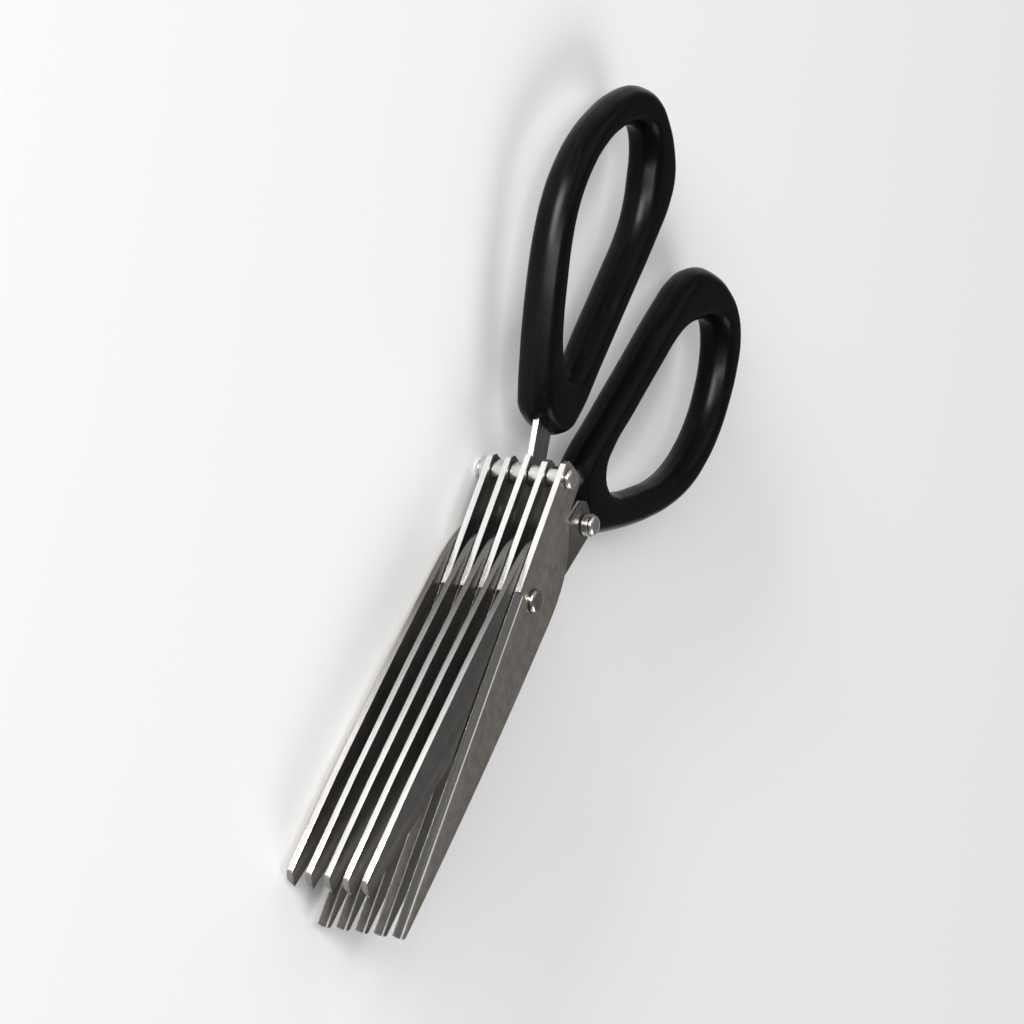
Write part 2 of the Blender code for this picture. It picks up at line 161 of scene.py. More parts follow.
OPENING_SHARES = (
    (0.000, 0.153), (0.038, 0.345), (0.113, 0.506), (0.226, 0.686), (0.356, 0.866), (0.486, 0.973),
    (0.608, 1.000), (0.729, 0.966), (0.842, 0.866), (0.938, 0.713), (0.993, 0.544), (1.000, 0.444),
    (0.965, 0.307), (0.885, 0.176), (0.799, 0.069), (0.703, 0.012), (0.538, 0.000), (0.278, 0.000),
    (0.087, 0.004), (0.023, 0.046),
)
OUTLINE_POINTS = 160
CURVE_STEPS = 24
SEAM_STEPS = 4
ROUNDING_STEPS = 7
# Keeps a smoothly drawn handle inside the facets of its CAD node
INSIDE_SHARE = 0.9985
# How far a smooth outline's handles reach, as Blender's automatic curve handles do
AUTO_HANDLE = 2.5614

# The tang and its room in the handle
TANG_TURN = math.radians(20.0)
TANG_WIDTH = 6.2 * MM
TANG_DEPTH = 10.5 * MM
TANG_CLEARANCE = 0.3 * MM

# Patterns in the finishes: features to the metre, detail, and stretch along, across and up
EVEN = (1.0, 1.0, 1.0)
BRUSHED_GRAIN = (2600.0, 3.0, (0.02, 1.0, 1.0))
BRUSHED_STREAKS = (420.0, 2.0, (0.05, 1.0, 1.0))
STEEL_BLOTCHES = (420.0, 4.0, EVEN)
STEEL_SMUDGES = (70.0, 4.0, EVEN)
WHEEL_MARKS = (5200.0, 2.0, (1.0, 0.04, 0.04))
BEVEL_WEAR = (160.0, 3.0, (0.4, 1.0, 1.0))
TURNED_SPECKS = (2400.0, 3.0, EVEN)
TURNED_WEAR = (300.0, 3.0, EVEN)
PLASTIC_GRAIN = (2200.0, 2.0, EVEN)
PLASTIC_FLOW = (90.0, 3.0, (0.35, 1.0, 1.0))
PLASTIC_SCUFFS = (900.0, 4.0, (0.12, 1.0, 1.0))
FLOOR_TONE = (3.0, 2.0, EVEN)

# The part of a pattern's range that is spread out, from its low end to its high end
MIDDLE = (0.35, 0.65)
MOST = (0.3, 0.7)
SMUDGE_PART = (0.45, 0.75)
SPECK_PART = (0.35, 0.7)
SCUFF_COLOUR_PART = (0.58, 0.80)
SCUFF_ROUGHNESS_PART = (0.55, 0.8)

# Brushed steel: how the patterns share its tone, and how far the roughness wanders
STREAK_SHARE = 0.4
FINE_TONE_SHARE = 0.4
BRUSHED_SWING = 0.04
SMUDGE_ROUGHNESS = 0.06
INNER_ROUGHNESS = 0.34
INNER_UNEVENNESS = 0.12
OUTER_ROUGHNESS = 0.30
OUTER_UNEVENNESS = 0.22
SIDE_ROUGHNESS = 0.26
SHOULDER_ROUGHNESS = 0.52
SIDE_UNEVENNESS = 0.04
SIDE_BRUSHING_SHARE = 0.25
# Painted shade on the spines near the pivot, where they lie between the other half's blades: full up to the
# first place, gone from the second on, and darkened to this share of the steel's colour
SPINE_SHADE_FULL_TO = 10.0 * MM
SPINE_SHADE_GONE_FROM = 50.0 * MM
SPINE_SHADE_TONE = 0.06
# Measured out from the middle line: all of the painted shade is left at the first place and none at the
# second
SPINE_SHADE_FADE = (-2.0 * MM, -1.0 * MM)

# Ground bevels
BEVEL_ROUGHNESS = 0.24
BEVEL_SMOOTHER_BY = 0.01
BEVEL_ROUGHER_BY = 0.02
BEVEL_UNEVENNESS = 0.03
WHEEL_MARK_SHARE = 0.5
WHEEL_MARK_DEPTH = 0.0002 * MM

# Turned steel
PIVOT_ROUGHNESS = 0.22
RIVET_ROUGHNESS = 0.24
TURNED_SMOOTHER_BY = 0.03
TURNED_ROUGHER_BY = 0.06
WORN_SHADE = 0.85
BRIGHT_SHADE = 1.06
SPECK_DEPTH = 0.0012 * MM

# Moulded plastic
PLASTIC_ROUGHNESS = 0.32
PLASTIC_SMOOTHER_BY = 0.05
PLASTIC_ROUGHER_BY = 0.07
SCUFF_ROUGHNESS = 0.12
GLOSS_LEAST = 0.05
GLOSS_MOST = 0.13
GLOSS_ROUGHNESS = 0.23
PLASTIC_SPECULAR = 0.06
PLASTIC_GRAIN_DEPTH = 0.006 * MM

# Stage, in metres and watts
FLOOR_SIZE = 8.0
FLOOR_GAP = 0.05 * MM
FLOOR_ROUGHNESS = 0.9
FLOOR_SHADE = 0.985
ROOM_COLOUR = (0.80, 0.80, 0.80, 1.0)
ROOM_STRENGTH = 0.22
CAMERA_AIM = Vector((-24.1, 9.1, 3.7)) * MM
SENSOR_WIDTH = 36.0
# Each lamp's name, place, width, height and power
LAMPS = (
    ("key_light", (0.44, -1.95, 1.17), 0.52, 1.8, 40.0),
    ("low_light", (-0.17, -2.55, 0.36), 1.1, 0.45, 68.0),
    ("fill_light", (-1.35, -0.52, 1.65), 1.9, 1.9, 7.0),
    ("side_light", (1.12, 1.42, 1.80), 1.5, 1.5, 22.0),
)


class Half:
    """One half of the scissors: its name, its side of the middle line, its turn and its handle's front."""

    def __init__(self, name, side, turn, handle_front):
        self.name = name
        self.side = side
        self.turn = turn
        self.handle_front = handle_front
        self.body = name + "_half"

    def place(self, along, out, level=0.0):
        """A place in the half's own plane, as it lies at rest."""
        flat = Vector((along, self.side * out, level))
        return Matrix.Rotation(self.turn, 3, "Z") @ flat

    def drawn(self, place):
        """Where a place at rest lies in the half's own plane: along and out."""
        flat = Matrix.Rotation(-self.turn, 3, "Z") @ Vector(place)
        return flat.x, self.side * flat.y


THUMB = Half("thumb", -1, 0.0, TAIL_REACH + THUMB_HANDLE_GAP)
FINGER = Half("finger", 1, FINGER_TURN, TAIL_REACH + FINGER_HANDLE_GAP)
HALVES = (THUMB, FINGER)


def only(piece):
    """Leave nothing but this piece selected."""
    if bpy.context.object and bpy.context.object.mode != "OBJECT":
        bpy.ops.object.mode_set(mode="OBJECT")
    bpy.ops.object.select_all(action="DESELECT")
    if piece:
        piece.select_set(True)
        bpy.context.view_layer.objects.active = piece


def select_where(piece, element, wanted):
    """Open the piece for editing with those of its vertices, edges or faces selected that are wanted."""
    only(piece)
    bpy.ops.object.mode_set(mode="EDIT")
    bpy.ops.mesh.select_mode(type=element)
    bpy.ops.mesh.select_all(action="DESELECT")
    bpy.ops.object.mode_set(mode="OBJECT")
    items = {"VERT": piece.data.vertices, "EDGE": piece.data.edges, "FACE": piece.data.polygons}[element]
    for item in items:
        item.select = bool(wanted(item))
    bpy.ops.object.mode_set(mode="EDIT")


def select_all_of(piece, element):
    only(piece)
    bpy.ops.object.mode_set(mode="EDIT")
    bpy.ops.mesh.select_mode(type=element)
    bpy.ops.mesh.select_all(action="SELECT")


def done(piece, smooth_below):
    """Close the piece with its faces turned out and its soft edges shaded smooth."""
    select_all_of(piece, "FACE")
    bpy.ops.mesh.normals_make_consistent(inside=False)
    bpy.ops.object.mode_set(mode="OBJECT")
    bpy.ops.object.shade_smooth_by_angle(angle=smooth_below)


def name_piece(piece, name):
    piece.name = name
    piece.data.name = name
    return piece


def copied_node(node_name, name):
    """A piece that starts as a copy of a CAD node, with its loose triangles joined into flat faces."""
    only(frame["nodes"][node_name])
    bpy.ops.object.duplicate()
    piece = name_piece(bpy.context.object, name)
    bpy.ops.object.parent_clear(type="CLEAR_KEEP_TRANSFORM")
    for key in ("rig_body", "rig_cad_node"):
        del piece[key]
    select_all_of(piece, "VERT")
    bpy.ops.mesh.remove_doubles(threshold=MERGE_DISTANCE)
    bpy.ops.mesh.dissolve_limited(angle_limit=FLAT_TURN)
    bpy.ops.object.mode_set(mode="OBJECT")
    return piece


def copied_piece(piece, name, step):
    """Another like this piece, with its own mesh, moved by the step."""
    only(piece)
    bpy.ops.object.duplicate()
    twin = name_piece(bpy.context.object, name)
    select_all_of(twin, "VERT")
    bpy.ops.transform.translate(value=step)
    bpy.ops.object.mode_set(mode="OBJECT")
    return twin


def middle_of(node_name):
    """The middle of a CAD node's box."""
    low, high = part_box(node_name)
    return (low + high) / 2


def seat(piece, body, node_name):
    """Let the piece stand for its CAD node, which is hidden, and move with its body."""
    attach(piece, body)
    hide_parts(node_name)


def edge_turns(mesh):
    """How far the surface turns at each edge, by the edge's two vertices."""
    faces_at = {}
    for face in mesh.polygons:
        for key in face.edge_keys:
            faces_at.setdefault(key, []).append(face.normal)
    turns = {}
    for key, normals in faces_at.items():
        if len(normals) == 2:
            turns[key] = normals[0].angle(normals[1], 0.0)
    return turns


class Socket:
    """A value that varies over a surface. Plain arithmetic on it makes the nodes that work it out."""

    def __init__(self, finish, output):
        self.finish = finish
        self.output = output

    def __add__(self, other):
        return self.finish.sum_of("ADD", self, other)

    __radd__ = __add__

    def __mul__(self, other):
        return self.finish.sum_of("MULTIPLY", self, other)

    __rmul__ = __mul__


class Finish:
    """A material in the making: a Principled surface and the nodes that vary it."""

    def __init__(self, name, metallic, roughness, turn=0.0):
        self.material = bpy.data.materials.new(name)
        self.material.use_nodes = True
        self.tree = self.material.node_tree
        self.surface = self.tree.nodes["Principled BSDF"]
        self.surface.inputs["Metallic"].default_value = metallic
        self.surface.inputs["Roughness"].default_value = roughness
        self.turn = turn
        self.coordinates = self.node("ShaderNodeTexCoord", {}, {}).outputs["Object"]

    def node(self, kind, settings, inputs):
        """One node: its settings first, then what goes into its sockets."""
        made = self.tree.nodes.new(kind)
        for setting, value in settings.items():
            setattr(made, setting, value)
        for key, value in inputs.items():
            self.join(value, made.inputs[key])
        return made

    def join(self, value, target):
        if isinstance(value, Socket):
            self.tree.links.new(value.output, target)
        elif isinstance(value, bpy.types.NodeSocket):
            self.tree.links.new(value, target)
        else:
            target.default_value = value

    def sum_of(self, operation, first, second):
        made = self.node("ShaderNodeMath", {"operation": operation}, {0: first, 1: second})
        return Socket(self, made.outputs["Value"])

    def turned(self):
        """Coordinates that run along the half that the surface is on."""
        made = self.node(
            "ShaderNodeMapping", {}, {"Vector": self.coordinates, "Rotation": (0.0, 0.0, -self.turn)})
        return made.outputs["Vector"]

    def noise(self, pattern):
        """The noise of a pattern, stretched along the half that the surface is on."""
        scale, detail, stretch = pattern
        stretched = self.node("ShaderNodeMapping", {}, {"Vector": self.turned(), "Scale": stretch})
        made = self.node("ShaderNodeTexNoise", {}, {
            "Vector": stretched.outputs["Vector"], "Scale": scale, "Detail": detail})
        return Socket(self, made.outputs["Fac"])

    def spread(self, value, part, to_low=0.0, to_high=1.0):
        """Part of the value's range, spread out over another range and held inside it."""
        low, high = part
        made = self.node("ShaderNodeMapRange", {"clamp": True}, {
            "Value": value, "From Min": low, "From Max": high, "To Min": to_low, "To Max": to_high})
        return Socket(self, made.outputs["Result"])

    def blended(self, share, first, second):
        """Two values added up, with the share that the first one has in the sum."""
        return first * share + second * (1.0 - share)

    def mixed(self, share, first, second):
        """Two colours, or colours that vary, mixed by a share."""
        made = self.node("ShaderNodeMix", {"data_type": "RGBA"}, {"Factor": share})
        for key, colour in ((6, first), (7, second)):
            self.join(colour if isinstance(colour, Socket) else (*colour, 1.0), made.inputs[key])
        return Socket(self, made.outputs[2])

    def bumped(self, height, depth):
        """Raise the surface where the height is large, by so much in metres."""
        made = self.node("ShaderNodeBump", {}, {"Height": height, "Strength": 1.0, "Distance": depth})
        self.join(made.outputs["Normal"], self.surface.inputs["Normal"])

    def colour(self, value):
        self.join(value, self.surface.inputs["Base Color"])

    def roughness(self, value):
        self.join(value, self.surface.inputs["Roughness"])

    def coat(self, weight, roughness):
        self.join(weight, self.surface.inputs["Coat Weight"])
        self.surface.inputs["Coat Roughness"].default_value = roughness


def shade(colour, share):
    """The colour made darker or lighter by a share."""
    return tuple(min(1.0, part * share) for part in colour)


def brushed_steel(name, colour, half, brushing, roughness, unevenness, spine_dulling=0.0):
    """Sheet steel brushed along the blade, with streaks, blotches and smudges, and painted shade on the
    spines near the pivot.
    """
    finish = Finish(name, 1.0, roughness, half.turn)
    grain = finish.noise(BRUSHED_GRAIN)
    streaks = finish.noise(BRUSHED_STREAKS)
    fine_tone = finish.spread(finish.blended(STREAK_SHARE, streaks, grain), MIDDLE)
    broad_tone = finish.spread(finish.noise(STEEL_BLOTCHES), MIDDLE)
    toned = finish.mixed(
        finish.blended(FINE_TONE_SHARE, fine_tone, broad_tone),
        shade(colour, 1.0 - unevenness), shade(colour, 1.0 + unevenness))
    # Painted shade: the spines grow dark towards the pivot, where they lie between the other half's blades
    if spine_dulling:
        place = finish.node("ShaderNodeSeparateXYZ", {}, {"Vector": finish.turned()})
        along = Socket(finish, place.outputs["X"])
        out = Socket(finish, place.outputs["Y"]) * half.side
        shade_near_pivot = finish.spread(along, (SPINE_SHADE_FULL_TO, SPINE_SHADE_GONE_FROM), spine_dulling, 0.0)
        on_spine = finish.spread(out, SPINE_SHADE_FADE, 1.0, 0.0)
        toned = finish.mixed(shade_near_pivot * on_spine, toned, shade(colour, SPINE_SHADE_TONE))
    finish.colour(toned)
    smudges = finish.spread(finish.noise(STEEL_SMUDGES), SMUDGE_PART, 0.0, SMUDGE_ROUGHNESS)
    uneven = finish.spread(grain, MOST, roughness - BRUSHED_SWING, roughness + BRUSHED_SWING)
    finish.roughness(uneven + smudges)
    finish.bumped(grain, brushing)
    return finish.material


def ground_steel(name, colour, half, roughness):
    """The bevel behind a cutting edge, with wheel marks across it."""
    finish = Finish(name, 1.0, roughness, half.turn)
    wheel_marks = finish.noise(WHEEL_MARKS)
    tone = finish.spread(finish.blended(WHEEL_MARK_SHARE, wheel_marks, finish.noise(BEVEL_WEAR)), MIDDLE)
    finish.colour(finish.mixed(
        tone, shade(colour, 1.0 - BEVEL_UNEVENNESS), shade(colour, 1.0 + BEVEL_UNEVENNESS)))
    finish.roughness(finish.spread(
        wheel_marks, MOST, roughness - BEVEL_SMOOTHER_BY, roughness + BEVEL_ROUGHER_BY))
    finish.bumped(wheel_marks, WHEEL_MARK_DEPTH)
    return finish.material


def turned_steel(name, colour, roughness):
    """Polished steel of the pivot, rivets and spacers, with fine specks and wear."""
    finish = Finish(name, 1.0, roughness)
    specks = finish.noise(TURNED_SPECKS)
    wear = finish.spread(finish.noise(TURNED_WEAR), MIDDLE)
    finish.colour(finish.mixed(wear, shade(colour, WORN_SHADE), shade(colour, BRIGHT_SHADE)))
    finish.roughness(finish.spread(
        specks, SPECK_PART, roughness - TURNED_SMOOTHER_BY, roughness + TURNED_ROUGHER_BY))
    finish.bumped(specks, SPECK_DEPTH)
    return finish.material


def moulded_plastic(name, colour, scuffed, half, roughness):
    """Black moulded plastic with a fine grain, a soft gloss and faint scuffs."""
    finish = Finish(name, 0.0, roughness, half.turn)
    flow = finish.noise(PLASTIC_FLOW)
    scuffs = finish.noise(PLASTIC_SCUFFS)
    finish.colour(finish.mixed(finish.spread(scuffs, SCUFF_COLOUR_PART), colour, scuffed))
    uneven = finish.spread(flow, MOST, roughness - PLASTIC_SMOOTHER_BY, roughness + PLASTIC_ROUGHER_BY)
    finish.roughness(uneven + finish.spread(scuffs, SCUFF_ROUGHNESS_PART, 0.0, SCUFF_ROUGHNESS))
    finish.coat(finish.spread(flow, MOST, GLOSS_LEAST, GLOSS_MOST), GLOSS_ROUGHNESS)
    finish.surface.inputs["Specular IOR Level"].default_value = PLASTIC_SPECULAR
    finish.bumped(finish.noise(PLASTIC_GRAIN), PLASTIC_GRAIN_DEPTH)
    return finish.material


def plain_floor(name, colour):
    """Pale matt paper, with a tone that barely wanders."""
    finish = Finish(name, 0.0, FLOOR_ROUGHNESS)
    finish.colour(finish.mixed(finish.noise(FLOOR_TONE), shade(colour, FLOOR_SHADE), colour))
    return finish.material


class BladeSettings(bpy.types.PropertyGroup):
    """Sizes and colours of the ten blades."""

    # The warm tint of this colour is partly the steel's own and partly a painted reflection of warm
    # surroundings
    outer_colour: bpy.props.FloatVectorProperty(
        name="Outer colour", description="Colour of the two flat faces on the outside of the stack",
        subtype="COLOR", size=3, min=0.0, max=1.0, default=(0.59, 0.53, 0.47))
    # Painted shade: the flat faces inside the stack get a darker copy of the outer steel, for the shade
    # between the plates
    inner_colour: bpy.props.FloatVectorProperty(
        name="Shaded inner colour", description="Colour of the duller flat faces inside the stack",
        subtype="COLOR", size=3, min=0.0, max=1.0, default=(0.27, 0.255, 0.24))
    edge_colour: bpy.props.FloatVectorProperty(
        name="Edge colour", description="Colour of the narrow sides of the blades",
        subtype="COLOR", size=3, min=0.0, max=1.0, default=(0.96, 0.95, 0.93))
    # Painted shade: how much darker the spines are made near the pivot, where they lie between the other
    # half's blades
    spine_dulling: bpy.props.FloatProperty(
        name="Painted spine shade", description="How much of their shine the spines lose near the pivot",
        subtype="FACTOR", min=0.0, max=1.0, default=0.84)
    bevel_colour: bpy.props.FloatVectorProperty(
        name="Bevel colour", description="Colour of the ground bevels behind the cutting edges",
        subtype="COLOR", size=3, min=0.0, max=1.0, default=(0.46, 0.45, 0.44))
    shoulder_softening: bpy.props.FloatProperty(
        name="Shoulder softening",
        description="Width of the rounding where the ground bevel meets the flat face",
        subtype="DISTANCE", unit="LENGTH", min=0.00002, max=0.0004, default=0.20 * MM)
    edge_softening: bpy.props.FloatProperty(
        name="Edge softening", description="Width of the rounding along the blades' stamped edges",
        subtype="DISTANCE", unit="LENGTH", min=0.00002, max=0.0003, default=0.14 * MM)
    brushing_depth: bpy.props.FloatProperty(
        name="Brushing depth", description="Depth of the brushed grain in the flat faces",
        subtype="DISTANCE", unit="LENGTH", min=0.0, max=0.0001, default=0.001 * MM)


class HandleSettings(bpy.types.PropertyGroup):
    """Sizes and colours of the two handles."""

    plastic_colour: bpy.props.FloatVectorProperty(
        name="Plastic colour", description="Colour of the moulded handles",
        subtype="COLOR", size=3, min=0.0, max=1.0, default=(0.0016, 0.0016, 0.0018))
    scuff_colour: bpy.props.FloatVectorProperty(
        name="Scuff colour", description="Colour of faint scuffs on the handles",
        subtype="COLOR", size=3, min=0.0, max=1.0, default=(0.006, 0.006, 0.0065))
    seam_width: bpy.props.FloatProperty(
        name="Seam width", description="Width of the mould's parting line round the handles",
        subtype="DISTANCE", unit="LENGTH", min=0.0001, max=0.001, default=0.5 * MM)
    seam_depth: bpy.props.FloatProperty(
        name="Seam depth", description="Depth of the mould's parting line",
        subtype="DISTANCE", unit="LENGTH", min=0.0, max=0.0005, default=0.03 * MM)


class FastenerSettings(bpy.types.PropertyGroup):
    """Sizes and colours of the pivot, the rivets, the washers and the spacers."""

    steel_colour: bpy.props.FloatVectorProperty(
        name="Rivet colour", description="Colour of the rear rivets, spacers and washers",
        subtype="COLOR", size=3, min=0.0, max=1.0, default=(0.74, 0.73, 0.71))
    pivot_colour: bpy.props.FloatVectorProperty(
        name="Pivot colour", description="Colour of the duller pivot bolt, its nut and its washers",
        subtype="COLOR", size=3, min=0.0, max=1.0, default=(0.42, 0.41, 0.39))
    facets: bpy.props.IntProperty(
        name="Facets", description="Number of sides on each round piece", min=16, max=128, default=64)
    rim_softening: bpy.props.FloatProperty(
        name="Rim softening", description="Width of the rounding on the rims of the round pieces",
        subtype="DISTANCE", unit="LENGTH", min=0.00002, max=0.0003, default=0.08 * MM)


class StageSettings(bpy.types.PropertyGroup):
    """The floor, the lights and the camera."""

    floor_colour: bpy.props.FloatVectorProperty(
        name="Floor colour", description="Colour of the plain floor",
        subtype="COLOR", size=3, min=0.0, max=1.0, default=(0.92, 0.92, 0.92))
    azimuth: bpy.props.FloatProperty(
        name="Azimuth", description="Direction from which the camera looks, round the pivot's axis",
        subtype="ANGLE", unit="ROTATION", default=math.radians(26.2))
    elevation: bpy.props.FloatProperty(
        name="Elevation", description="Height of the camera above the floor, as an angle",
        subtype="ANGLE", unit="ROTATION", default=math.radians(28.05))
    roll: bpy.props.FloatProperty(
        name="Roll", description="Turn of the camera about its line of sight, which hangs the tips down",
        subtype="ANGLE", unit="ROTATION", default=math.radians(96.75))
    distance: bpy.props.FloatProperty(
        name="Distance", description="Distance from the camera to the point that it looks at",
        subtype="DISTANCE", unit="LENGTH", min=0.3, max=5.0, default=1.312)
    lens: bpy.props.FloatProperty(
        name="Lens", description="Focal length in millimetres on a sensor 36 mm wide",
        min=50.0, max=400.0, default=221.0)


def soften_blade(piece, half, shape):
    """Round the stamped edges of a blade and the shoulder of its bevel, but not its cutting edge."""

    def on_shoulder(edge):
        ends = [half.drawn(piece.data.vertices[index].co) for index in edge.vertices]
        return all(abs(out - SHOULDER_OUT) < NEAR for along, out in ends)

    select_where(piece, "EDGE", on_shoulder)
    bpy.ops.mesh.bevel(offset=shape.shoulder_softening, segments=SOFTENING_SEGMENTS, clamp_overlap=True)
    bpy.ops.object.mode_set(mode="OBJECT")
    turns = edge_turns(piece.data)

    def stamped(edge):
        if turns.get(edge.key, 0.0) < SHARP_TURN:
            return False
        for index in edge.vertices:
            along, out = half.drawn(piece.data.vertices[index].co)
            if abs(out - CUTTING_EDGE_OUT) < NEAR and along > GROUND_FROM - NEAR:
                return False
        return True

    select_where(piece, "EDGE", stamped)
    bpy.ops.mesh.bevel(offset=shape.edge_softening, segments=SOFTENING_SEGMENTS, clamp_overlap=True)
    bpy.ops.mesh.select_all(action="SELECT")
    bpy.ops.mesh.bisect(
        plane_co=half.place(GROUND_FROM, 0.0), plane_no=half.place(1.0, 0.0), threshold=NEAR / 2)
    bpy.ops.object.mode_set(mode="OBJECT")


def give_steel(piece, steel, wanted):
    """Give those of the piece's faces that are wanted one of its steels."""
    select_where(piece, "FACE", wanted)
    piece.active_material_index = steel
    bpy.ops.object.material_slot_assign()
    bpy.ops.object.mode_set(mode="OBJECT")


def finish_blade(piece, half, shape, steels):
    """Give the ground bevel, its shoulder and the sides their own steel; the flat faces and the tip's end
    keep the darker inner steel, which is painted shade.
    """
    piece.data.materials.clear()
    for material in steels:
        piece.data.materials.append(material)
    tipward = half.place(1.0, 0.0)

    def is_side(face):
        return abs(face.normal.z) < LEANING_FACE

    def is_ground(face):
        along, out = half.drawn(face.center)
        behind_edge = SHOULDER_OUT - NEAR < out < CUTTING_EDGE_OUT
        leaning = GROUND_FACE < abs(face.normal.z) < LEANING_FACE
        return leaning and behind_edge and face.area > LEAST_GROUND_AREA

    def is_honed(face):
        along, out = half.drawn(face.center)
        return along > GROUND_FROM and abs(out - CUTTING_EDGE_OUT) < NEAR

    def is_shoulder(face):
        along, out = half.drawn(face.center)
        least, most = SHOULDER_FACES
        return least < abs(face.normal.z) < most and abs(out - SHOULDER_OUT) < shape.shoulder_softening

    def is_tip_end(face):
        return face.normal.dot(tipward) > SHADED_TIP_END_FACE

    give_steel(piece, SIDE, is_side)
    give_steel(piece, BEVEL, is_ground)
    give_steel(piece, BEVEL, is_honed)
    give_steel(piece, SHOULDER, is_shoulder)
    # Painted shade: the faces on the tip's end get the darker inner steel
    give_steel(piece, SHADED_INNER_FLAT, is_tip_end)


def brighten_outer_face(piece, way):
    """Give an outermost blade its brighter steel on the face that looks out of the stack."""
    give_steel(
        piece, OUTER_FLAT,
        lambda face: face.material_index == SHADED_INNER_FLAT and face.normal.z * way > FLAT_FACE)


def smooth_loop(places, count):
    """So many places, evenly spaced, along a smooth closed curve through the given ones."""
    points = [Vector(place) for place in places]
    total = len(points)
    handles = []
    for index, point in enumerate(points):
        before = point - points[index - 1]
        after = points[(index + 1) % total] - point
        tangent = before.normalized() + after.normalized()
        reach = tangent.length * AUTO_HANDLE
        handles.append((point - tangent * (before.length / reach), point + tangent * (after.length / reach)))
    drawn = []
    for index, point in enumerate(points):
        following = (index + 1) % total
        for step in range(CURVE_STEPS):
            part = step / CURVE_STEPS
            rest = 1.0 - part
            drawn.append(
                point * rest ** 3
                + handles[index][1] * (3 * rest ** 2 * part)
                + handles[following][0] * (3 * rest * part ** 2)
                + points[following] * part ** 3)
    lengths = [0.0]
    for index in range(len(drawn)):
        lengths.append(lengths[-1] + (drawn[(index + 1) % len(drawn)] - drawn[index]).length)
    even = []
    index = 0
    for step in range(count):
        wanted = lengths[-1] * step / count
        while lengths[index + 1] < wanted:
            index += 1
        share = (wanted - lengths[index]) / (lengths[index + 1] - lengths[index])
        even.append(drawn[index].lerp(drawn[(index + 1) % len(drawn)], share))
    return even


def handle_place(half, back, out):
    """A place in a handle, measured back from the pivot along the line where the closed handles meet."""
    turn = CLOSED_HALF_ANGLE - half.side * MEETING_LINE_TURN
    along = -back * math.cos(turn) - out * math.sin(turn)
    across = -back * math.sin(turn) + out * math.cos(turn)
    return half.place(along, across)


def handle_loops(half):
    """The handle's outline and its opening, as evenly spaced places."""
    outline = []
    for back_share, out_share in OUTLINE_SHARES:
        outline.append(handle_place(
            half, half.handle_front + back_share * HANDLE_LENGTH, HALF_CLOSED_GAP + out_share * HANDLE_WIDTH))
    room_length = HANDLE_LENGTH - FRONT_BOSS - REAR_STRAND
    room_width = HANDLE_WIDTH - OUTER_STRAND - INNER_STRAND
    opening = []
    for back_share, out_share in OPENING_SHARES:
        opening.append(handle_place(
            half, half.handle_front + FRONT_BOSS + back_share * room_length,
            HALF_CLOSED_GAP + INNER_STRAND + out_share * room_width))
    return smooth_loop(outline, OUTLINE_POINTS), smooth_loop(opening, OUTLINE_POINTS)


def rim_profile(lean_height):
    """Places (inwards, upwards) over a rim: up the leaning wall and round to the flat face."""
    foot = lean_height * math.tan(WALL_LEAN)
    corner = HANDLE_ROUNDING * math.tan(WALL_LEAN)
    across = HANDLE_ROUNDING - foot
    places = [(0.0, 0.0)]
    for step in range(ROUNDING_STEPS + 1):
        share = step / ROUNDING_STEPS
        pull = 2 * (1.0 - share) * share
        inwards = foot + pull * corner + share ** 2 * across
        places.append((inwards, lean_height + (pull + share ** 2) * HANDLE_ROUNDING))
    return places


def round_off(profile):
    """Round the selected flat face over in steps, inwards from both of its rims."""
    for place, following in zip(profile, profile[1:]):
        bpy.ops.mesh.inset(
            thickness=following[0] - place[0], depth=following[1] - place[1], use_even_offset=True)


def draw_flat_loop(name, half, level):
    """The handle's flat shape, between its outline and its opening, at a level."""
    outline, opening = handle_loops(half)
    only(None)
    bpy.ops.mesh.primitive_circle_add(vertices=OUTLINE_POINTS, radius=HANDLE_WIDTH)
    loop = name_piece(bpy.context.object, name)
    bpy.ops.object.mode_set(mode="EDIT")
    bpy.ops.mesh.primitive_circle_add(vertices=OUTLINE_POINTS, radius=HANDLE_WIDTH / 2)
    bpy.ops.object.mode_set(mode="OBJECT")
    for vertex, place in zip(loop.data.vertices, outline + opening):
        vertex.co = (place.x, place.y, level)
    select_all_of(loop, "EDGE")
    bpy.ops.mesh.bridge_edge_loops()
    bpy.ops.object.mode_set(mode="OBJECT")
    return loop


def make_handle(half, shape):
    """A looped handle: a ring drawn flat, raised, rounded over on both faces and slotted for its tang."""
    low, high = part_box(half.name + "_handle")
    middle = (low + high) / 2
    upright = shape.seam_width
    lean_height = (high.z - low.z) / 2 - HANDLE_ROUNDING - upright
    handle = draw_flat_loop(half.name + "_looped_handle", half, middle.z - upright)
    select_all_of(handle, "EDGE")
    rise = 2 * upright / SEAM_STEPS
    for step in range(SEAM_STEPS):
        bpy.ops.mesh.extrude_region_move(TRANSFORM_OT_translate={"value": (0.0, 0.0, rise)})
    bpy.ops.mesh.select_all(action="SELECT")
    bpy.ops.mesh.normals_make_consistent(inside=False)
    for level in (middle.z - upright, middle.z + upright):
        select_where(
            handle, "FACE",
            lambda face: abs(face.normal.z) > FLAT_FACE and abs(face.center.z - level) < NEAR)
        round_off(rim_profile(lean_height))
    select_where(handle, "VERT", lambda vertex: abs(vertex.co.z - middle.z) < NEAR)
    bpy.ops.transform.shrink_fatten(value=-shape.seam_depth)
    bpy.ops.mesh.select_all(action="SELECT")
    bpy.ops.transform.resize(value=(INSIDE_SHARE, INSIDE_SHARE, 1.0), center_override=middle)
    bpy.ops.object.mode_set(mode="OBJECT")
    cut_tang_room(handle, half)
    done(handle, HANDLE_SMOOTHING)
    return handle


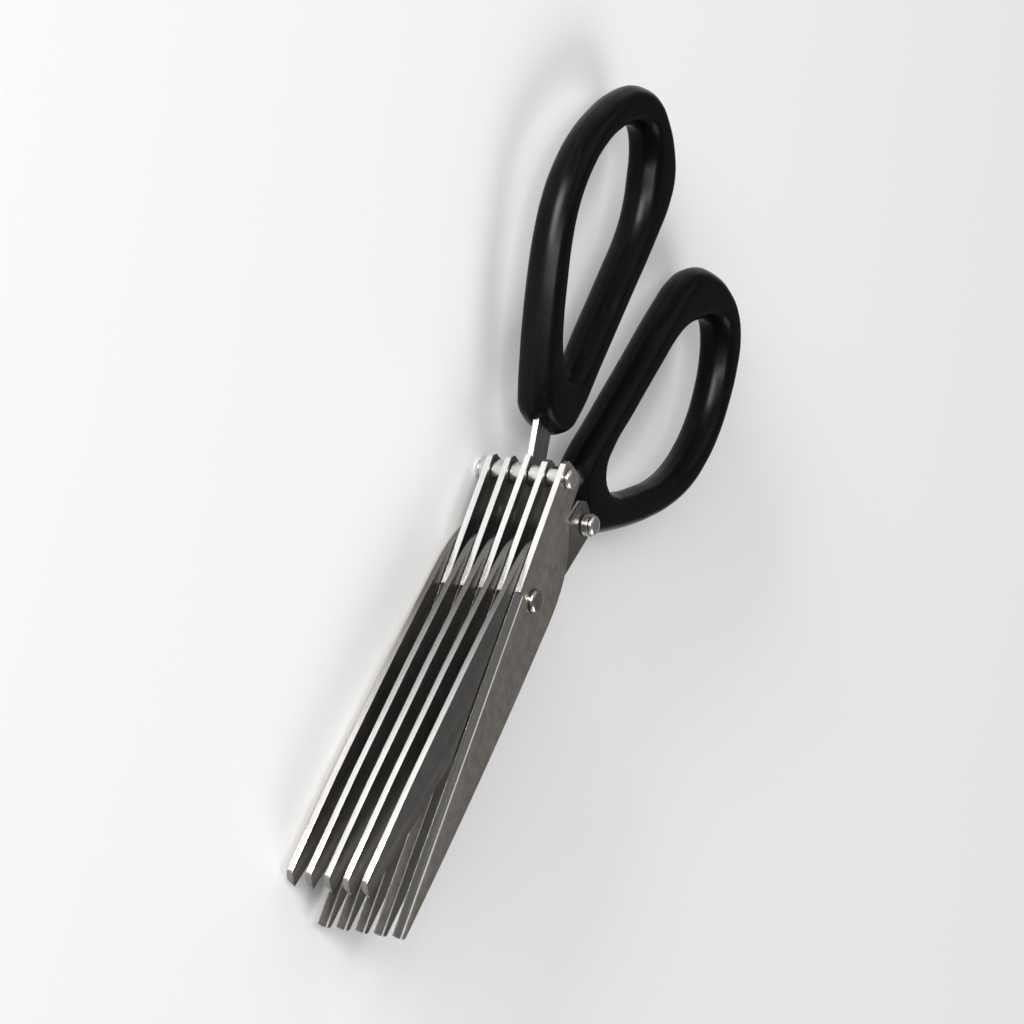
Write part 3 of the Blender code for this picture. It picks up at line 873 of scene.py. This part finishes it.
def cut_tang_room(handle, half):
    """The slot in the handle's front that the tang is moulded into."""
    level = middle_of(half.name + "_centre_blade_with_tang").z
    depth = TANG_DEPTH + half.handle_front - TAIL_REACH + TANG_CLEARANCE
    length = 2 * (depth / math.cos(TANG_TURN) + TANG_WIDTH / 2 * math.tan(TANG_TURN))
    mouth = half.place(-TAIL_REACH, CUTTING_EDGE_OUT - TAIL_WIDTH / 2, level)
    only(None)
    bpy.ops.mesh.primitive_cube_add(size=1.0, location=mouth)
    block = bpy.context.object
    bpy.ops.object.mode_set(mode="EDIT")
    bpy.ops.transform.resize(
        value=(length, TANG_WIDTH + 2 * TANG_CLEARANCE, BLADE_THICKNESS + 2 * TANG_CLEARANCE),
        center_override=mouth)
    bpy.ops.object.mode_set(mode="OBJECT")
    block.rotation_euler.z = half.turn - half.side * TANG_TURN
    bpy.ops.object.transform_apply(location=True, rotation=True, scale=True)
    only(handle)
    bpy.ops.object.modifier_add(type="BOOLEAN")
    slotting = handle.modifiers[-1]
    slotting.operation = "DIFFERENCE"
    slotting.solver = "EXACT"
    slotting.object = block
    bpy.ops.object.modifier_apply(modifier=slotting.name)
    only(block)
    bpy.ops.object.delete()


def draw_round(name, profile, centre, shape, element, fill):
    """A circle or a disc drawn up and down along a profile of (radius, level), and left open for editing."""
    radius, level = profile[0]
    only(None)
    bpy.ops.mesh.primitive_circle_add(
        vertices=shape.facets, radius=radius, fill_type=fill, location=(centre.x, centre.y, level))
    piece = name_piece(bpy.context.object, name)
    bpy.ops.object.transform_apply(location=True, rotation=True, scale=True)
    select_all_of(piece, element)
    for next_radius, next_level in profile[1:]:
        bpy.ops.mesh.extrude_region_move(TRANSFORM_OT_translate={"value": (0.0, 0.0, next_level - level)})
        share = next_radius / radius
        bpy.ops.transform.resize(value=(share, share, 1.0), center_override=(centre.x, centre.y, next_level))
        radius, level = next_radius, next_level
    return piece


def turned_piece(name, profile, centre, shape):
    """A solid drawn up from a disc along its profile."""
    piece = draw_round(name, profile, centre, shape, "FACE", "NGON")
    soften_rims(piece, shape)
    return piece


def turned_ring(name, node_name, shaft_radius, shape):
    """A washer or spacer on a shaft: a circle drawn round the section of the ring until it closes."""
    low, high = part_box(node_name)
    bore = shaft_radius + SHAFT_CLEARANCE
    outer = (high.x - low.x) / 2
    section = ((bore, low.z), (outer, low.z), (outer, high.z), (bore, high.z), (bore, low.z))
    piece = draw_round(name, section, middle_of(node_name), shape, "EDGE", "NOTHING")
    bpy.ops.mesh.select_all(action="SELECT")
    bpy.ops.mesh.remove_doubles(threshold=MERGE_DISTANCE)
    soften_rims(piece, shape)
    return piece


def soften_rims(piece, shape):
    """Round the sharp rims of a turned piece."""
    done(piece, ROUND_SMOOTHING)
    bpy.ops.object.modifier_add(type="BEVEL")
    rounding = piece.modifiers[-1]
    rounding.width = shape.rim_softening
    rounding.segments = SOFTENING_SEGMENTS
    rounding.limit_method = "ANGLE"
    rounding.angle_limit = SHARP_TURN
    bpy.ops.object.modifier_apply(modifier=rounding.name)
    done(piece, ROUND_SMOOTHING)


def dome_profile(radius, rim_level, crown_level):
    """Profile points of a low dome, from its rim up to the small flat at its crown."""
    points = []
    for step in range(DOME_STEPS + 1):
        share = 1.0 - (1.0 - CROWN_SHARE) * step / DOME_STEPS
        rise = math.sqrt(1.0 - share ** 2)
        points.append((radius * share, rim_level + (crown_level - rim_level) * rise))
    return points


def give(piece, material):
    """Cover the whole piece with one material."""
    piece.data.materials.clear()
    piece.data.materials.append(material)


def blade_steels(half, shape):
    """A half's steels, in the order of their places in a blade's list."""
    side_brushing = shape.brushing_depth * SIDE_BRUSHING_SHARE
    return (
        # The inner steel is a darker copy of the outer one, which paints the shade inside the stack
        brushed_steel(
            half.name + "_inner_steel", shape.inner_colour, half, shape.brushing_depth,
            INNER_ROUGHNESS, INNER_UNEVENNESS),
        ground_steel(half.name + "_ground_steel", shape.bevel_colour, half, BEVEL_ROUGHNESS),
        brushed_steel(
            half.name + "_edge_steel", shape.edge_colour, half, side_brushing,
            SIDE_ROUGHNESS, SIDE_UNEVENNESS, shape.spine_dulling),
        brushed_steel(
            half.name + "_shoulder_steel", shape.edge_colour, half, side_brushing,
            SHOULDER_ROUGHNESS, SIDE_UNEVENNESS),
        brushed_steel(
            half.name + "_outer_steel", shape.outer_colour, half, shape.brushing_depth,
            OUTER_ROUGHNESS, OUTER_UNEVENNESS),
    )


def add_blade(half, node_name, piece_name, shape, steels):
    """A blade made from its CAD node: softened, given its steels and seated."""
    blade = copied_node(node_name, piece_name)
    soften_blade(blade, half, shape)
    finish_blade(blade, half, shape, steels)
    done(blade, BLADE_SMOOTHING)
    seat(blade, half.body, node_name)
    return blade


class SCISSORS_OT_blades(bpy.types.Operator):
    """Add the ten blades, with softened edges, brushed faces and ground bevels"""

    bl_idname = "scissors.blades"
    bl_label = "Blades"

    def execute(self, context):
        shape = context.scene.scissor_blades
        for half in HALVES:
            steels = blade_steels(half, shape)
            tanged_node = half.name + "_centre_blade_with_tang"
            add_blade(half, tanged_node, half.name + "_tanged_blade", shape, steels)
            first_node = half.name + "_blade_1"
            first = add_blade(half, first_node, half.name + "_short_blade_1", shape, steels)
            for pair in range(2, BLADE_PAIRS + 1):
                if pair == CENTRE_PAIR:
                    continue
                node_name = half.name + "_blade_" + str(pair)
                step = middle_of(node_name) - middle_of(first_node)
                twin = copied_piece(first, half.name + "_short_blade_" + str(pair), step)
                seat(twin, half.body, node_name)
        brighten_outer_face(bpy.data.objects["thumb_short_blade_" + str(BLADE_PAIRS)], 1.0)
        brighten_outer_face(bpy.data.objects["finger_short_blade_1"], -1.0)
        return {"FINISHED"}


class SCISSORS_OT_handles(bpy.types.Operator):
    """Add the two moulded handles, each slotted for its tang"""

    bl_idname = "scissors.handles"
    bl_label = "Handles"

    def execute(self, context):
        shape = context.scene.scissor_handles
        for half in HALVES:
            plastic = moulded_plastic(
                half.name + "_black_plastic", shape.plastic_colour, shape.scuff_colour, half,
                PLASTIC_ROUGHNESS)
            handle = make_handle(half, shape)
            give(handle, plastic)
            seat(handle, half.body, half.name + "_handle")
        return {"FINISHED"}


class SCISSORS_OT_pivot(bpy.types.Operator):
    """Add the pivot bolt, its cap nut and the washers between the pairs of blades"""

    bl_idname = "scissors.pivot"
    bl_label = "Pivot"

    def execute(self, context):
        shape = context.scene.scissor_fasteners
        steel = turned_steel("pivot_steel", shape.pivot_colour, PIVOT_ROUGHNESS)
        low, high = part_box("pivot_bolt")
        centre = middle_of("pivot_bolt")
        head_radius = (high.x - low.x) / 2
        head_level = high.z - HEAD_HEIGHT
        bolt_profile = [
            (PIVOT_SHAFT_RADIUS, low.z),
            (PIVOT_SHAFT_RADIUS, head_level),
            (head_radius, head_level),
        ] + dome_profile(head_radius, head_level + HEAD_RIM, high.z)
        bolt = turned_piece("domed_pivot_bolt", bolt_profile, centre, shape)
        give(bolt, steel)
        seat(bolt, THUMB.body, "pivot_bolt")

        low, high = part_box("pivot_cap_nut")
        bore = PIVOT_SHAFT_RADIUS + NUT_BORE_CLEARANCE
        nut_profile = [
            (head_radius - HEAD_RIM, low.z),
            (head_radius, low.z + HEAD_RIM),
            (head_radius, high.z),
            (bore, high.z),
            (bore, low.z + NUT_FLOOR),
        ]
        nut = turned_piece("closed_cap_nut", nut_profile, centre, shape)
        give(nut, steel)
        seat(nut, THUMB.body, "pivot_cap_nut")
        add_rings("pivot_washer_", "thin_pivot_washer_", PIVOT_SHAFT_RADIUS, THUMB, steel, shape)
        return {"FINISHED"}


def rivet_profile(low, high):
    """Profile points of a rivet: a flat set head below, the shaft, and a domed head above."""
    head_radius = (high.x - low.x) / 2
    head_level = high.z - HEAD_HEIGHT
    return [
        (head_radius - HEAD_RIM, low.z),
        (head_radius, low.z + HEAD_RIM),
        (head_radius, low.z + HEAD_HEIGHT),
        (RIVET_SHAFT_RADIUS, low.z + HEAD_HEIGHT),
        (RIVET_SHAFT_RADIUS, head_level),
        (head_radius, head_level),
    ] + dome_profile(head_radius, head_level + HEAD_RIM, high.z)


def add_rings(node_stem, piece_stem, shaft_radius, half, steel, shape):
    """A ring in each gap between the pairs of blades: the first is modelled and the others are its copies."""
    first_node = node_stem + "1"
    first = turned_ring(piece_stem + "1", first_node, shaft_radius, shape)
    give(first, steel)
    seat(first, half.body, first_node)
    for gap in range(2, BLADE_PAIRS):
        node_name = node_stem + str(gap)
        twin = copied_piece(first, piece_stem + str(gap), middle_of(node_name) - middle_of(first_node))
        seat(twin, half.body, node_name)


class SCISSORS_OT_rear_rivets(bpy.types.Operator):
    """Add the rivet through the tails of each half, with its spacers and end washer"""

    bl_idname = "scissors.rear_rivets"
    bl_label = "Rear rivets"

    def execute(self, context):
        shape = context.scene.scissor_fasteners
        steel = turned_steel("rivet_steel", shape.steel_colour, RIVET_ROUGHNESS)
        first_node = "thumb_rear_rivet"
        first = turned_piece(
            "thumb_tail_rivet", rivet_profile(*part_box(first_node)), middle_of(first_node), shape)
        give(first, steel)
        seat(first, THUMB.body, first_node)
        second_node = "finger_rear_rivet"
        second = copied_piece(first, "finger_tail_rivet", middle_of(second_node) - middle_of(first_node))
        seat(second, FINGER.body, second_node)
        for half in HALVES:
            add_rings(
                half.name + "_rear_spacer_", half.name + "_tail_spacer_",
                RIVET_SHAFT_RADIUS, half, steel, shape)
            washer_node = half.name + "_rear_washer"
            washer = turned_ring(half.name + "_tail_washer", washer_node, RIVET_SHAFT_RADIUS, shape)
            give(washer, steel)
            seat(washer, half.body, washer_node)
        return {"FINISHED"}


def add_lamp(name, place, target, width, height, power):
    """A soft rectangular light that faces a point."""
    bpy.ops.object.light_add(type="AREA", location=place)
    lamp = bpy.context.object
    lamp.name = name
    lamp.data.shape = "RECTANGLE"
    lamp.data.size = width
    lamp.data.size_y = height
    lamp.data.energy = power
    lamp.rotation_mode = "QUATERNION"
    lamp.rotation_quaternion = (Vector(target) - Vector(place)).to_track_quat("-Z", "Y")


class SCISSORS_OT_stage(bpy.types.Operator):
    """Add the plain floor, the soft lights and the camera"""

    bl_idname = "scissors.stage"
    bl_label = "Stage"

    def execute(self, context):
        stage = context.scene.scissor_stage
        only(None)
        bpy.ops.mesh.primitive_plane_add(size=FLOOR_SIZE, location=(0.0, 0.0, CAD_BOX[0].z - FLOOR_GAP))
        floor = name_piece(bpy.context.object, "pale_floor")
        give(floor, plain_floor("pale_floor", stage.floor_colour))

        middle = (CAD_BOX[0] + CAD_BOX[1]) / 2
        for name, place, width, height, power in LAMPS:
            add_lamp(name, place, middle, width, height, power)

        world = bpy.data.worlds.new("soft_room")
        context.scene.world = world
        world.use_nodes = True
        background = world.node_tree.nodes["Background"]
        background.inputs["Color"].default_value = ROOM_COLOUR
        background.inputs["Strength"].default_value = ROOM_STRENGTH

        bpy.ops.object.camera_add()
        camera = bpy.context.object
        camera.name = "photo_camera"
        back = Vector((
            math.sin(stage.azimuth) * math.cos(stage.elevation),
            -math.cos(stage.azimuth) * math.cos(stage.elevation),
            math.sin(stage.elevation)))
        camera.location = CAMERA_AIM + back * stage.distance
        camera.rotation_mode = "QUATERNION"
        rolled = Quaternion((0.0, 0.0, 1.0), stage.roll)
        camera.rotation_quaternion = (-back).to_track_quat("-Z", "Y") @ rolled
        camera.data.lens = stage.lens
        camera.data.sensor_width = SENSOR_WIDTH
        context.scene.camera = camera
        context.scene.view_settings.view_transform = "Standard"
        return {"FINISHED"}


class SCISSORS_PT_panel(bpy.types.Panel):
    """Lists the pieces of the scissors and their settings"""

    bl_label = "Herb Scissors"
    bl_idname = "SCISSORS_PT_panel"
    bl_space_type = "VIEW_3D"
    bl_region_type = "UI"
    bl_category = "Herb Scissors"

    def draw(self, context):
        groups = (
            (context.scene.scissor_blades, ("scissors.blades",)),
            (context.scene.scissor_handles, ("scissors.handles",)),
            (context.scene.scissor_fasteners, ("scissors.pivot", "scissors.rear_rivets")),
            (context.scene.scissor_stage, ("scissors.stage",)),
        )
        for group, operators in groups:
            box = self.layout.box()
            for operator in operators:
                box.operator(operator)
            for key in group.bl_rna.properties.keys():
                if key not in ("rna_type", "name"):
                    box.prop(group, key)


GROUPS = (
    ("scissor_blades", BladeSettings),
    ("scissor_handles", HandleSettings),
    ("scissor_fasteners", FastenerSettings),
    ("scissor_stage", StageSettings),
)
OPERATORS = (
    SCISSORS_OT_blades,
    SCISSORS_OT_handles,
    SCISSORS_OT_pivot,
    SCISSORS_OT_rear_rivets,
    SCISSORS_OT_stage,
)


def register():
    for name, group in GROUPS:
        bpy.utils.register_class(group)
        setattr(bpy.types.Scene, name, bpy.props.PointerProperty(type=group))
    for operator in OPERATORS:
        bpy.utils.register_class(operator)
    bpy.utils.register_class(SCISSORS_PT_panel)


def unregister():
    bpy.utils.unregister_class(SCISSORS_PT_panel)
    for operator in reversed(OPERATORS):
        bpy.utils.unregister_class(operator)
    for name, group in reversed(GROUPS):
        delattr(bpy.types.Scene, name)
        bpy.utils.unregister_class(group)


def main():
    register()
    bpy.ops.scissors.blades()
    bpy.ops.scissors.handles()
    bpy.ops.scissors.pivot()
    bpy.ops.scissors.rear_rivets()
    bpy.ops.scissors.stage()


if __name__ == "__main__":
    main()
